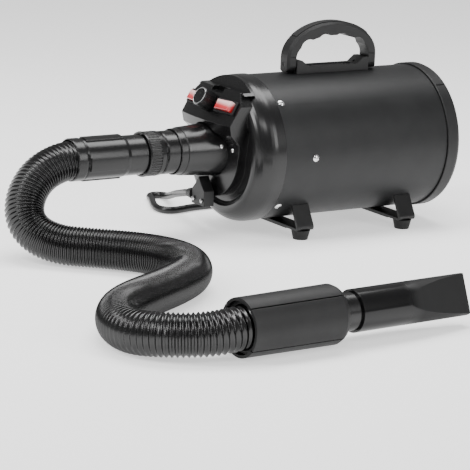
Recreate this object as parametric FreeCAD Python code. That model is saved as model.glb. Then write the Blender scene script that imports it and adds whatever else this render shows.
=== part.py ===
import FreeCAD, Part
import math
import os

# Cylinder pet dryer: a steel tube body on two strap brackets, a moulded front cap with the
# controls and the air outlet, a stretch hose and a hand piece with a flat nozzle.
#
# Millimetres, +Z up.  The dryer's axis runs along X: air comes in at the back (+X) and leaves
# at the front (-X).  The shapes are drawn with x = 0 at the seam between the front cap and the
# tube, and save() moves them so that the origin is on the floor under the dryer's middle.

# ---------------------------------------------------------------- driving dimensions
AXIS_Z = 97.0            # height of the body's axis over the floor
BODY_R = 82.5            # steel tube, outside
BODY_WALL = 1.2
BODY_LENGTH = 223.5
TUBE_BORE_R = BODY_R - BODY_WALL
FIT_R = TUBE_BORE_R - 0.2        # whatever slides into the tube
TOP_Z = AXIS_Z + BODY_R          # top of the steel tube

CAP_R = 83.7             # front cap collar
RING_R = 84.5            # rear ring
RING_LENGTH = 18.5
OUTLET_Z = AXIS_Z + 1.5  # axis of the air outlet
OUTLET_BASE_R = 30.8     # the outlet tube tapers from its root to its mouth
OUTLET_TIP_R = 27.2
OUTLET_BORE_R = 24.6
OUTLET_MOUTH_X = -100.6
SEAM_X = -(OUTLET_MOUTH_X + BODY_LENGTH + RING_LENGTH) / 2   # centres the dryer over the origin

HOOD_PLAN_R = 300.0      # the control hood's faces are gently rounded in plan
HOOD_NOSE_X = -60.3      # the hood's lower edge, on the middle line
HOOD_TOP_Z = AXIS_Z + 71.0
CAP_SHELL = 3.0

FACE_TILT = 30.0         # control face, degrees back from upright
FACE_X = -49.8           # a point on the control face, on the middle line
FACE_Z = AXIS_Z + 54.3
ROCKER_Y = 31.0
ROCKER_YAW = 5.9         # the rounded face turns each rocker a little outwards

FOOT_Y = 62.0
FOOT_HEIGHT = 11.0
BRACKET_X = (38.0, 180.0)
BRACKET_WIDTH = 22.0
STRAP = 3.0

HANDLE_X = 107.5
HANDLE_LENGTH = 123.0
HANDLE_WIDTH = 18.6
HANDLE_PIVOT_Z = TOP_Z + 10.0
HANDLE_TOP_Z = TOP_Z + 57.0

HOSE_R = 21.5
HOSE_BORE_R = 18.5
CORD_R = 4.25

GRIP_START = (-291.0, -446.9, 30.0)   # hose end of the hand piece, on its axis
GRIP_YAW = 3.4                        # the hand piece lies turned this much from +X
GRIP_LENGTH = 111.0
NOZZLE_R = 21.4
NOZZLE_ROLL = 22.0                    # the flat mouth lies rolled over on the floor

UP = FreeCAD.Vector(0, 0, 1)
ALONG = FreeCAD.Vector(1, 0, 0)
ACROSS = FreeCAD.Vector(0, 1, 0)


# ---------------------------------------------------------------- helpers
def vec(x, y, z):
    return FreeCAD.Vector(x, y, z)


def save(name, shapes):
    """Write one node.  A list is a group of separate solids."""
    if isinstance(shapes, list):
        shapes = Part.makeCompound(shapes)
    placed = shapes.copy()
    placed.translate(vec(SEAM_X, 0, 0))
    placed.exportStep("parts/" + name + ".step")
    print(name, len(placed.Solids), "solid(s)", round(placed.Volume / 1000, 2), "cm3", placed.isValid())


def rod(radius, x0, x1, y=0.0, z=AXIS_Z):
    """Solid cylinder along X."""
    return Part.makeCylinder(radius, x1 - x0, vec(x0, y, z), ALONG)


def pipe(outer, inner, x0, x1, y=0.0, z=AXIS_Z):
    """Hollow cylinder along X."""
    return rod(outer, x0, x1, y, z).cut(rod(inner, x0 - 1, x1 + 1, y, z))


def box(x0, x1, y0, y1, z0, z1):
    return Part.makeBox(x1 - x0, y1 - y0, z1 - z0, vec(x0, y0, z0))


def polygon(points):
    return Part.Face(Part.makePolygon(points + [points[0]]))


def turned(profile, z=AXIS_Z):
    """Revolve (x, radius) points about the axis along X at height z."""
    face = polygon([vec(x, 0, z + r) for x, r in profile])
    return face.revolve(vec(0, 0, z), ALONG, 360)


def slab_xz(profile, y0, y1):
    """Extrude an (x, z) outline along Y."""
    return polygon([vec(x, y0, z) for x, z in profile]).extrude(vec(0, y1 - y0, 0))


def slab_yz(profile, x0, x1):
    """Extrude a (y, z) outline along X."""
    return polygon([vec(x0, y, z) for y, z in profile]).extrude(vec(x1 - x0, 0, 0))


def fused(shapes):
    whole = shapes[0]
    for shape in shapes[1:]:
        whole = whole.fuse(shape)
    return whole.removeSplitter()


def spun(shape, angle, centre=None, axis=ALONG):
    """A copy turned about an axis, which is the body's own unless another is given."""
    copy = shape.copy()
    copy.rotate(centre or vec(0, 0, AXIS_Z), axis, angle)
    return copy


def around(shape, count, start=0.0):
    """Copies of one shape spaced evenly about the body's axis."""
    return [spun(shape, start + 360.0 * i / count) for i in range(count)]


def lobed(radius, depth, count, x0, x1, z):
    """A round bar with count shallow flutes, as on a knob or a knurled ring."""
    bar = rod(radius, x0, x1, 0, z)
    flute_r = depth * 1.6
    reach = radius + flute_r - depth
    flutes = []
    for i in range(count):
        angle = 2 * math.pi * i / count
        flutes.append(rod(flute_r, x0 - 1, x1 + 1, reach * math.sin(angle), z + reach * math.cos(angle)))
    return bar.cut(Part.makeCompound(flutes))


def pan_screw(head_r, head_h, shank_r, length):
    """Cross-head screw along +X, with the underside of its head at x = 0."""
    dome = Part.makeSphere(head_r * 1.45, vec(head_r * 1.45 - head_h, 0, 0))
    head = Part.makeCylinder(head_r, head_h, vec(-head_h, 0, 0), ALONG).common(dome)
    cross = box(-head_h - 1, -head_h * 0.35, -head_r * 0.62, head_r * 0.62, -0.45, 0.45)
    shank = Part.makeCylinder(shank_r, length, vec(0, 0, 0), ALONG)
    return head.fuse(shank).cut(cross).cut(spun(cross, 90, vec(0, 0, 0)))


def radial(shape, x, angle, radius):
    """Put a screw drawn along +X on the body, pointing at its axis.  Angle from +Y, towards +Z."""
    placed = shape.copy()
    placed.rotate(vec(0, 0, 0), UP, 180)
    placed.rotate(vec(0, 0, 0), UP, 90)
    placed.translate(vec(x, radius, AXIS_Z))
    return spun(placed, angle)


def cord_path(points):
    """Straight runs joined by tangent arcs, each as large as its two runs allow."""
    edges = []
    here = points[0]
    for before, corner, after in zip(points, points[1:], points[2:]):
        back = before - corner
        on = after - corner
        turn = math.pi - back.getAngle(on)
        reach = 0.45 * min(back.Length, on.Length)
        radius = reach / math.tan(turn / 2)
        back.normalize()
        on.normalize()
        first = corner + back * reach
        last = corner + on * reach
        inward = back + on
        inward.normalize()
        middle = corner + inward * (radius / math.cos(turn / 2) - radius)
        edges.append(Part.LineSegment(here, first).toShape())
        edges.append(Part.Arc(first, middle, last).toShape())
        here = last
        print("   turn %5.1f deg, radius %6.1f mm" % (math.degrees(turn), radius))
    edges.append(Part.LineSegment(here, points[-1]).toShape())
    return Part.Wire(edges)


def swept(path, points, radius):
    """A round section carried along a path."""
    circle = Part.Wire(Part.makeCircle(radius, points[0], points[1] - points[0]))
    solid = path.makePipeShell([circle], True, True)
    ideal = math.pi * radius * radius * path.Length
    print("   length %.0f mm, volume / (section x length) = %.4f" % (path.Length, solid.Volume / ideal))
    return solid


# ---------------------------------------------------------------- body tube and its screws
TUBE_SCREW_X = 7.0
TUBE_SCREW_ANGLES = (133.5, 223.5, 313.5, 43.5)
MOTOR_SCREW_X = 40.0
MOTOR_SCREW_ANGLES = (180.0, 0.0)


def make_body():
    tube = pipe(BODY_R, TUBE_BORE_R, 0, BODY_LENGTH)
    screw = pan_screw(4.1, 2.4, 1.9, 7.0)
    hole = Part.makeCylinder(2.1, 20, vec(-10, 0, 0), ALONG)
    seat = BODY_R + 0.02
    front = [radial(screw, TUBE_SCREW_X, a, seat) for a in TUBE_SCREW_ANGLES]
    motor = [radial(screw, MOTOR_SCREW_X, a, seat) for a in MOTOR_SCREW_ANGLES]
    cuts = [radial(hole, TUBE_SCREW_X, a, BODY_R) for a in TUBE_SCREW_ANGLES]
    cuts += [radial(hole, MOTOR_SCREW_X, a, BODY_R) for a in MOTOR_SCREW_ANGLES]
    cuts += handle_holes()
    save("body_tube", tube.cut(Part.makeCompound(cuts)))
    save("body_screws", front + motor)


# ---------------------------------------------------------------- front cap
def hood_outline(inset, x0, x1):
    """Front view of the control hood and the pod under it, as a prism along X."""
    top = HOOD_TOP_Z - inset
    bottom_z = AXIS_Z - 6.0
    radius = 46.5 - inset
    right = [(40.4 - 0.6 * inset, top), (52.5 - inset, AXIS_Z + 57.0), (51.0 - inset, AXIS_Z + 24.0),
             (radius, bottom_z)]
    points = [vec(x0, y, z) for y, z in right]
    left = [vec(x0, -y, z) for y, z in right]
    arc = Part.Arc(points[-1], vec(x0, 0, bottom_z - radius), left[-1]).toShape()
    loop = [left[-1], left[-2], left[-3], left[-4], points[0], points[1], points[2], points[3]]
    edges = [Part.LineSegment(a, b).toShape() for a, b in zip(loop, loop[1:])]
    return Part.Face(Part.Wire(edges + [arc])).extrude(vec(x1 - x0, 0, 0))


def hood_front(inset):
    """Everything behind the hood's front faces, which are rounded in plan."""
    axis_x = HOOD_NOSE_X + HOOD_PLAN_R
    side = [
        (-39.5, HOOD_TOP_Z + 1),
        (HOOD_NOSE_X, AXIS_Z + 36.0),
        (-58.0, AXIS_Z + 25.0),
        (-46.0, AXIS_Z + 13.5),
        (-44.5, AXIS_Z + 3.0),
        (-47.0, AXIS_Z - 60.0),
    ]
    outline = [vec(x + inset, 0, z) for x, z in side]
    outline += [vec(0, 0, AXIS_Z - 60.0), vec(0, 0, HOOD_TOP_Z + 1)]
    face = polygon(outline)
    face.rotate(vec(axis_x, 0, 0), UP, -20)
    return face.revolve(vec(axis_x, 0, 0), UP, 40)


def hood_block(inset, back_x):
    return hood_outline(inset, -62, back_x).common(hood_front(inset))


def face_place(shape, y, yaw=0.0, height=0.0):
    """Stand a part drawn with +X into the dryer on the tilted control face."""
    placed = shape.copy()
    placed.translate(vec(-height, 0, 0))
    placed.rotate(vec(0, 0, 0), ACROSS, FACE_TILT)
    placed.rotate(vec(0, 0, 0), UP, yaw)
    recess = HOOD_PLAN_R - math.sqrt(HOOD_PLAN_R ** 2 - y * y)
    placed.translate(vec(FACE_X + recess, y, FACE_Z))
    return placed


def shoulder(offset, crest_x):
    """Rounded shoulder of the cap between its collar and its crest, as (x, radius) points."""
    steps = 10
    centre_x = -11.0
    centre_r = CAP_R - 19.0
    points = []
    for i in range(steps + 1):
        angle = math.radians(90.0 * i / steps)
        x = centre_x - (abs(crest_x) + centre_x - offset) * math.sin(angle)
        r = centre_r + (19.0 - offset) * math.cos(angle)
        points.append((x, r))
    return points


def make_front_cap():
    outer = [(14, FIT_R), (0.0, FIT_R), (0.0, CAP_R), (-0.6, CAP_R)]
    outer += shoulder(0.0, -34.0)
    outer += [(-32.5, 61.5), (-30.0, 59.5), (-30.0, 0.0)]
    inner = [(-26.5, 0.0), (-26.5, 60.0)]
    inner += [(x, r) for x, r in reversed(shoulder(CAP_SHELL + 0.5, -34.0))]
    inner += [(-4.0, FIT_R - CAP_SHELL), (14, FIT_R - CAP_SHELL)]
    shell = turned(outer + inner)
    lunette = slab_xz([(-70, HOOD_TOP_Z), (-25, HOOD_TOP_Z), (-21, TOP_Z + 3), (-70, TOP_Z + 3)], -80, 80)
    deck = slab_xz([(-36, HOOD_TOP_Z - CAP_SHELL), (-36, HOOD_TOP_Z), (-25, HOOD_TOP_Z), (-21, TOP_Z + 3),
                    (-17, TOP_Z + 3), (-22, HOOD_TOP_Z - CAP_SHELL)], -70, 70)
    deck = deck.common(rod(CAP_R - 0.4, -36, 0))
    shell = shell.cut(lunette)
    hood = hood_block(0.0, -28.0).cut(lunette)
    cavity = hood_block(CAP_SHELL, -26.0)
    cap = shell.fuse(hood).fuse(deck).cut(cavity)
    cap = cap.cut(rod(OUTLET_BASE_R + 0.1, -70, 0, 0, OUTLET_Z))
    cap = cap.cut(box(-70, -34, -5.2, 5.2, AXIS_Z - 53, AXIS_Z - 43))
    seat = box(-3, 30, -15.6, 15.6, -7.0, 7.0)
    for side in (-1, 1):
        cap = cap.cut(face_place(seat, side * ROCKER_Y, -side * ROCKER_YAW))
    cap = cap.cut(face_place(Part.makeCylinder(4.6, 20, vec(-6, 0, 0), ALONG), 0))
    hole = Part.makeCylinder(1.7, 20, vec(-10, 0, 0), ALONG)
    cuts = [radial(hole, TUBE_SCREW_X, a, FIT_R) for a in TUBE_SCREW_ANGLES]
    cap = cap.cut(Part.makeCompound(cuts))
    notch = box(-60, -31, -12, 12, HOOD_TOP_Z - 5.5, HOOD_TOP_Z + 2)
    notch_wall = box(-41, -28, -14.5, 14.5, HOOD_TOP_Z - 8.5, HOOD_TOP_Z).common(hood_block(0.0, -28.0))
    save("front_cap", cap.fuse(notch_wall).cut(notch).removeSplitter())


def make_outlet():
    root_x = -39.5
    rim_x = OUTLET_MOUTH_X + 8.8
    rim_r = OUTLET_TIP_R - 0.9
    lip = [(OUTLET_MOUTH_X, OUTLET_BORE_R + 0.7), (OUTLET_MOUTH_X + 0.7, OUTLET_BORE_R),
           (rim_x - 2.0, OUTLET_BORE_R), (root_x, OUTLET_BORE_R + 3.5), (root_x + 3.5, OUTLET_BORE_R + 3.9),
           (root_x + 3.5, 36.0), (root_x, 36.0), (root_x, OUTLET_BASE_R), (rim_x + 0.4, OUTLET_TIP_R),
           (rim_x, OUTLET_TIP_R - 0.4), (rim_x, rim_r), (OUTLET_MOUTH_X + 0.7, rim_r - 0.2),
           (OUTLET_MOUTH_X, rim_r - 0.8)]
    tube = turned(lip, OUTLET_Z)
    screw_x = -51.5
    screw_angle = 16.0
    screws = []
    for side in (-1, 1):
        one = pan_screw(2.5, 1.6, 1.2, 2.4)
        one.rotate(vec(0, 0, 0), UP, -side * 90)
        one.translate(vec(screw_x, side * (OUTLET_BASE_R - 0.3), OUTLET_Z))
        one = spun(one, side * screw_angle, vec(0, 0, OUTLET_Z))
        hole = Part.makeCylinder(1.3, 12, vec(screw_x, side * 22, OUTLET_Z), vec(0, side, 0))
        tube = tube.cut(spun(hole, side * screw_angle, vec(0, 0, OUTLET_Z)))
        screws.append(one)
    save("outlet_tube", tube)
    across = 37.4
    recess = HOOD_PLAN_R - math.sqrt(HOOD_PLAN_R ** 2 - across ** 2)
    for side in (-1, 1):
        one = pan_screw(2.5, 1.6, 1.2, 3.0)
        one.translate(vec(-44.6 + recess, side * across, OUTLET_Z + 4.4))
        screws.append(one)
    return screws


# ---------------------------------------------------------------- switches and speed knob
def rocker_cap():
    """Proud rocker, drawn with x = 0 on the control face; its outer half stands out."""
    half = 13.6
    outline = [(-8.9, -half), (-7.2, 0), (-6.0, half), (4.0, half), (4.0, -half)]
    cap = polygon([vec(x, y, -5.7) for x, y in outline]).extrude(vec(0, 0, 11.4))
    front = [e for e in cap.Edges if e.BoundBox.XMax < -5.0]
    return cap.makeFillet(1.3, front)


def make_controls():
    bezel = box(-2.4, 0.05, -16.8, 16.8, -8.0, 8.0).fuse(box(0, 17, -15.5, 15.5, -6.9, 6.9))
    bezel = bezel.cut(box(-3, 7.2, -14.7, 14.7, -6.0, 6.0))
    pins = [box(17, 25, y - 0.4, y + 0.4, -2.4, 2.4) for y in (-9, 0, 9)]
    rocker = rocker_cap()
    for side, name in ((-1, "right"), (1, "left")):
        yaw = -side * ROCKER_YAW
        save("switch_housing_" + name, face_place(fused([bezel] + pins), side * ROCKER_Y, yaw))
        save("rocker_" + name, face_place(rocker, side * ROCKER_Y, yaw))
    skirt = lobed(11.2, 0.5, 24, -16.9, -2.5, 0).cut(rod(9.6, -4.5, 0, 0, 0))
    skirt = skirt.cut(rod(3.05, -13, 0, 0, 0))
    crown = Part.makeCone(11.2, 10.1, 1.2, vec(-16.9, 0, 0), vec(-1, 0, 0))
    crown = crown.cut(rod(9.2, -19, -17.5, 0, 0))
    pointer = box(-18.3, -17.2, -0.8, 0.8, 2.5, 8.7)
    save("speed_knob", face_place(fused([skirt, crown, pointer]), 0))
    shaft = rod(3.0, -12.8, 9.0, 0, 0)
    save("knob_shaft", face_place(shaft, 0))
    nut = Part.makeCylinder(6.4, 1.9, vec(-1.95, 0, 0), ALONG)
    can = rod(8.2, 3.4, 13, 0, 0).fuse(rod(3.9, -1.9, 3.5, 0, 0)).fuse(nut).cut(rod(3.05, -5, 10, 0, 0))
    save("speed_potentiometer", face_place(can, 0))


# ---------------------------------------------------------------- rear ring, filter and grille
def make_rear():
    x0 = BODY_LENGTH
    x1 = x0 + RING_LENGTH
    ring = turned([(x0 + 0.6, RING_R - 0.6), (x0 + 1.2, RING_R), (x1 - 5.0, RING_R), (x1 - 1.8, RING_R - 1.4),
                   (x1, RING_R - 4.6), (x1, 73.0), (x1 - 2.5, 73.0), (x1 - 2.5, 78.0),
                   (x0 - 12.0, 78.0), (x0 - 12.0, FIT_R), (x0 + 0.6, FIT_R)])
    notch = box(x0 + 3.0, x1 + 1, -1.6, 1.6, AXIS_Z + RING_R - 1.0, AXIS_Z + RING_R + 2)
    for angle in (38.0, 158.0, 278.0):
        ring = ring.cut(spun(notch, angle))
    save("rear_ring", ring)
    grille_x = x1 - 6.0
    bars = [pipe(r, r - 2.2, grille_x, grille_x + 3.0) for r in (14.0, 26.0, 38.0, 50.0, 62.0)]
    rim = pipe(77.7, 72.0, grille_x, grille_x + 3.3)
    spokes = around(box(grille_x, grille_x + 3.0, -1.3, 1.3, AXIS_Z + 8.0, AXIS_Z + 73.0), 12)
    hub = rod(9.0, grille_x, grille_x + 3.0)
    save("rear_grille", fused([rim] + bars + spokes + [hub]))
    save("intake_filter", rod(77.6, grille_x - 10.2, grille_x - 0.1))
    plate = pipe(77.6, 66.0, grille_x - 13.4, grille_x - 10.4)
    cross = around(box(grille_x - 13.4, grille_x - 10.4, -3, 3, AXIS_Z - 67, AXIS_Z + 67), 3)
    save("filter_retainer", fused([plate] + cross))


# ---------------------------------------------------------------- feet
def make_feet():
    bend = 4.0
    rise = AXIS_Z - 56.0
    outer = [(-57.6, rise), (-75.0, FOOT_HEIGHT), (75.0, FOOT_HEIGHT), (57.6, rise)]
    inner = [(57.6 - STRAP, rise), (72.0 - STRAP, FOOT_HEIGHT + STRAP), (-72.0 + STRAP, FOOT_HEIGHT + STRAP),
             (-57.6 + STRAP, rise)]
    keep_out = rod(BODY_R + 0.05, -20, 260)
    bolt_hole = Part.makeCylinder(2.6, 20, vec(0, 0, FOOT_HEIGHT - 5), UP)
    for x, name in zip(BRACKET_X, ("front", "rear")):
        strap = slab_yz(outer + inner, x - BRACKET_WIDTH / 2, x + BRACKET_WIDTH / 2)
        corners = [e for e in strap.Edges if abs(e.BoundBox.XLength - BRACKET_WIDTH) < 0.01
                   and e.BoundBox.ZMax < FOOT_HEIGHT + 0.5]
        strap = strap.makeFillet(bend, corners)
        rib = box(x - BRACKET_WIDTH / 2, x + BRACKET_WIDTH / 2, -48, 48, FOOT_HEIGHT - 0.8, FOOT_HEIGHT + 0.5)
        rib = rib.cut(box(x - BRACKET_WIDTH / 2 + 2.4, x + BRACKET_WIDTH / 2 - 2.4, -50, 50, 0, FOOT_HEIGHT + 0.1))
        strap = strap.fuse(rib).cut(keep_out)
        for y in (-FOOT_Y, FOOT_Y):
            hole = bolt_hole.copy()
            hole.translate(vec(x, y, 0))
            strap = strap.cut(hole)
        save("foot_bracket_" + name, strap.removeSplitter())
    feet = []
    bolts = []
    for x in BRACKET_X:
        for y in (-FOOT_Y, FOOT_Y):
            foot = Part.makeCone(8.4, 11.0, FOOT_HEIGHT - 0.1, vec(x, y, 0), UP)
            groove = Part.makeTorus(11.2, 1.3, vec(x, y, 6.4), UP)
            pocket = Part.makeCylinder(5.0, 3.0, vec(x, y, -0.1), UP)
            bore = Part.makeCylinder(2.55, 20, vec(x, y, -1), UP)
            feet.append(foot.cut(groove).cut(pocket).cut(bore))
            screw = pan_screw(4.6, 2.6, 2.5, FOOT_HEIGHT - 0.6)
            screw.rotate(vec(0, 0, 0), ACROSS, 90)
            screw.translate(vec(x, y, FOOT_HEIGHT + STRAP + 0.05))
            bolts.append(screw)
    save("rubber_feet", feet)
    save("foot_bolts", bolts)


# ---------------------------------------------------------------- carrying handle
HANDLE_HALF = HANDLE_LENGTH / 2
EAR_HALF = HANDLE_HALF - 11.8
HANDLE_SCREW_X = 26.0


def handle_holes():
    hole = Part.makeCylinder(2.2, 12, vec(HANDLE_X, 0, TOP_Z - 8), UP)
    holes = []
    for shift in (-HANDLE_SCREW_X, HANDLE_SCREW_X):
        one = hole.copy()
        one.translate(vec(shift, 0, 0))
        holes.append(one)
    return holes


def half_ellipse(half_length, height, base_z, scale_steps):
    """Upper half of an ellipse as (x, z) points from -x to +x."""
    points = []
    for i in range(scale_steps + 1):
        angle = math.pi * (1 - i / scale_steps)
        points.append((HANDLE_X + half_length * math.cos(angle), base_z + height * math.sin(angle)))
    return points


def make_handle():
    low = TOP_Z - 1.5
    ear = TOP_Z + 14.8
    mid = TOP_Z + 7.6
    side = [(-EAR_HALF, low), (-EAR_HALF, ear), (-EAR_HALF + 7, ear), (-EAR_HALF + 16, mid),
            (EAR_HALF - 16, mid), (EAR_HALF - 7, ear), (EAR_HALF, ear), (EAR_HALF, low)]
    base = slab_xz([(HANDLE_X + x, z) for x, z in side], -10.3, 10.3)
    base = base.cut(rod(BODY_R + 0.05, -20, 260))
    upright = [e for e in base.Edges if e.BoundBox.YLength > 20.5 and e.BoundBox.ZMin > TOP_Z + 2]
    base = base.makeFillet(1.2, upright)
    trough = box(HANDLE_X - EAR_HALF + 20, HANDLE_X + EAR_HALF - 20, -6.5, 6.5, mid - 1.4, mid + 5)
    base = base.cut(trough)
    for shift in (-HANDLE_SCREW_X, HANDLE_SCREW_X):
        base = base.cut(Part.makeCylinder(2.2, 30, vec(HANDLE_X + shift, 0, TOP_Z - 8), UP))
        base = base.cut(Part.makeCylinder(4.4, 30, vec(HANDLE_X + shift, 0, TOP_Z + 3.2), UP))
    pin_hole = rod(2.03, HANDLE_X - HANDLE_HALF, HANDLE_X + HANDLE_HALF, 0, HANDLE_PIVOT_Z)
    save("handle_base", base.cut(pin_hole))
    screws = []
    for shift in (-HANDLE_SCREW_X, HANDLE_SCREW_X):
        screw = pan_screw(4.0, 2.4, 2.0, 4.6)
        screw.rotate(vec(0, 0, 0), ACROSS, 90)
        screw.translate(vec(HANDLE_X + shift, 0, TOP_Z + 3.25))
        screws.append(screw)
    save("handle_screws", screws)

    spring_z = TOP_Z + 18.0
    half = HANDLE_WIDTH / 2
    outer = [(HANDLE_X - HANDLE_HALF, TOP_Z)] + half_ellipse(HANDLE_HALF, HANDLE_TOP_Z - spring_z, spring_z, 36)
    outer += [(HANDLE_X + HANDLE_HALF, TOP_Z)]
    inner_half = EAR_HALF + 0.6
    inner = [(HANDLE_X - inner_half, TOP_Z - 1)] + half_ellipse(inner_half, 24.0, spring_z, 36)
    inner += [(HANDLE_X + inner_half, TOP_Z - 1)]
    arch = slab_xz(outer, -half, half)
    rim = [e for e in arch.Edges if e.BoundBox.YLength < 0.01 and e.BoundBox.ZMax > spring_z]
    arch = arch.makeChamfer(2.6, rim)
    arch = arch.cut(slab_xz(inner, -half - 1, half + 1))
    for shift in (-33.0, -11.0, 11.0, 33.0):
        drop = 24.0 * (1 - math.sqrt(1 - (shift / inner_half) ** 2))
        finger = Part.makeCylinder(11.6, 40, vec(HANDLE_X + shift, -20, spring_z + 24.0 - drop - 9.2), ACROSS)
        arch = arch.cut(finger)
    foot_round = rod(half, HANDLE_X - HANDLE_HALF - 1, HANDLE_X + HANDLE_HALF + 1, 0, HANDLE_PIVOT_Z)
    keep = foot_round.fuse(box(HANDLE_X - 80, HANDLE_X + 80, -20, 20, HANDLE_PIVOT_Z, HANDLE_TOP_Z + 5))
    arch = arch.common(keep)
    for end in (-1, 1):
        joint_x = HANDLE_X + end * (HANDLE_HALF + 0.6)
        groove = box(joint_x - 17, joint_x + 17, -20, 20, spring_z + 0.4, spring_z + 1.2)
        ring = groove.cut(box(joint_x - 16.4, joint_x + 16.4, -half + 0.5, half - 0.5, 0, 400))
        arch = arch.cut(ring)
    save("handle_grip", arch.cut(rod(2.0, 0, 240, 0, HANDLE_PIVOT_Z)))
    strip = slab_xz([(HANDLE_X + x, z) for x, z in strip_profile(spring_z)], -5.6, 5.6)
    save("handle_strip", strip)
    pins = [rod(1.98, HANDLE_X - HANDLE_HALF + 0.5, HANDLE_X - EAR_HALF + 12, 0, HANDLE_PIVOT_Z),
            rod(1.98, HANDLE_X + EAR_HALF - 12, HANDLE_X + HANDLE_HALF - 0.5, 0, HANDLE_PIVOT_Z)]
    save("handle_pins", pins)


def strip_profile(spring_z):
    """A thin soft strip on the arch's back, as an (x, z) outline."""
    lower = []
    upper = []
    height = HANDLE_TOP_Z - spring_z
    for i in range(25):
        angle = math.radians(142.0 - 104.0 * i / 24)
        lower.append((HANDLE_HALF * math.cos(angle) * 1.001, spring_z + height * math.sin(angle) * 1.001))
        upper.append(((HANDLE_HALF + 1.0) * math.cos(angle), spring_z + (height + 1.0) * math.sin(angle)))
    return lower + upper[::-1]


# ---------------------------------------------------------------- blower
CAN_R = 57.5


def make_blower():
    ring_front = pipe(FIT_R, CAN_R + 0.1, 34, 46)
    screw_hole = Part.makeCylinder(2.0, 12, vec(-4, 0, 0), ALONG)
    for angle in MOTOR_SCREW_ANGLES:
        ring_front = ring_front.cut(radial(screw_hole, MOTOR_SCREW_X, angle, FIT_R))
    save("motor_mount_rings", [ring_front, pipe(FIT_R, CAN_R + 0.1, 158, 168)])
    save("acoustic_liner", pipe(FIT_R, FIT_R - 11, 46.1, 157.9))
    can = turned([(34, CAN_R - 3), (34, CAN_R), (208, CAN_R), (208, CAN_R - 1.5), (36, CAN_R - 1.5), (36, CAN_R - 3)])
    save("blower_can", can)
    bell = turned([(208.1, CAN_R), (208.1, 30.0), (213.0, 24.0), (213.0, 21.5), (206.5, 27.0), (206.5, CAN_R - 1.6),
                   (208.0, CAN_R - 1.6), (208.0, CAN_R)])
    save("intake_bell", bell)
    guide = pipe(CAN_R - 1.6, 9.0, 188.0, 190.0).cut(pipe(54, 44, 187, 191))
    guide = fused([guide] + around(box(188.0, 190.0, -2, 2, AXIS_Z + 42, AXIS_Z + 55), 8))
    save("stage_plate", guide)
    save("impellers", [fan(20.5, 192.5), fan(20.5, 174.5)])
    frame = pipe(CAN_R - 1.6, 47.0, 164.0, 167.0)
    arms = around(box(164.0, 167.0, -4, 4, AXIS_Z + 12, AXIS_Z + 48), 4)
    end_plate = fused([frame] + arms + [pipe(16.0, 11.05, 160.0, 167.0)])
    nose = pipe(CAN_R - 1.6, 47.0, 56.0, 59.0)
    arms = around(box(56.0, 59.0, -4, 4, AXIS_Z + 12, AXIS_Z + 48), 4)
    save("motor_end_plates", [end_plate, fused([nose] + arms + [pipe(16.0, 11.05, 56.0, 63.0)])])
    stack = pipe(41.0, 24.0, 86.0, 134.0)
    slots = [box(85, 135, -41, 41, AXIS_Z - 9.0, AXIS_Z + 9.0).common(pipe(33.0, 23.0, 85, 135))]
    save("stator_core", stack.cut(Part.makeCompound(slots)))
    pole = pipe(32.7, 24.3, 78.0, 142.0).common(box(70, 150, -34, 34, AXIS_Z - 8.6, AXIS_Z + 8.6))
    save("field_windings", pole)
    save("motor_bearings", [pipe(11.0, 4.04, 56.5, 62.9), pipe(11.0, 4.04, 160.1, 166.9)])
    shaft = rod(4.0, 55.0, 204.0)
    core = lobed(23.2, 1.6, 12, 86.0, 134.0, AXIS_Z)
    ends = rod(20.0, 79.0, 141.0)
    commutator = lobed(11.5, 0.5, 24, 66.0, 77.0, AXIS_Z)
    save("armature", fused([shaft, core, ends, commutator]))
    holders = []
    brushes = []
    for side in (-1, 1):
        y0, y1 = (13.0, 38.0) if side > 0 else (-38.0, -13.0)
        holder = box(66.5, 76.5, y0, y1, AXIS_Z - 5.5, AXIS_Z + 5.5)
        holders.append(holder.cut(box(68.0, 75.0, -36, 36, AXIS_Z - 4, AXIS_Z + 4)))
        b0, b1 = (11.9, 28.0) if side > 0 else (-28.0, -11.9)
        brushes.append(box(68.2, 74.8, b0, b1, AXIS_Z - 3.8, AXIS_Z + 3.8))
    save("brush_holders", holders)
    save("carbon_brushes", brushes)


def fan(inlet_r, x0):
    """Backward-curved centrifugal wheel, 11 mm deep, open side towards +X."""
    disc = rod(52.0, x0, x0 + 1.4)
    cover = pipe(52.0, inlet_r, x0 + 9.6, x0 + 11.0)
    blade_outer = Part.makeCylinder(40.0, 9.0, vec(x0 + 1.0, 30.0, AXIS_Z + 21.0), ALONG)
    blade = blade_outer.cut(Part.makeCylinder(38.8, 12.0, vec(x0, 30.0, AXIS_Z + 21.0), ALONG))
    blade = blade.common(pipe(51.5, 19.0, x0 + 1.0, x0 + 10.0))
    blade = blade.common(box(x0, x0 + 12, -12, 60, AXIS_Z - 20, AXIS_Z + 60))
    hub = rod(9.0, x0, x0 + 9.0)
    return fused([disc, cover, hub] + around(blade, 9)).cut(rod(4.02, x0 - 1, x0 + 12))


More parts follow.
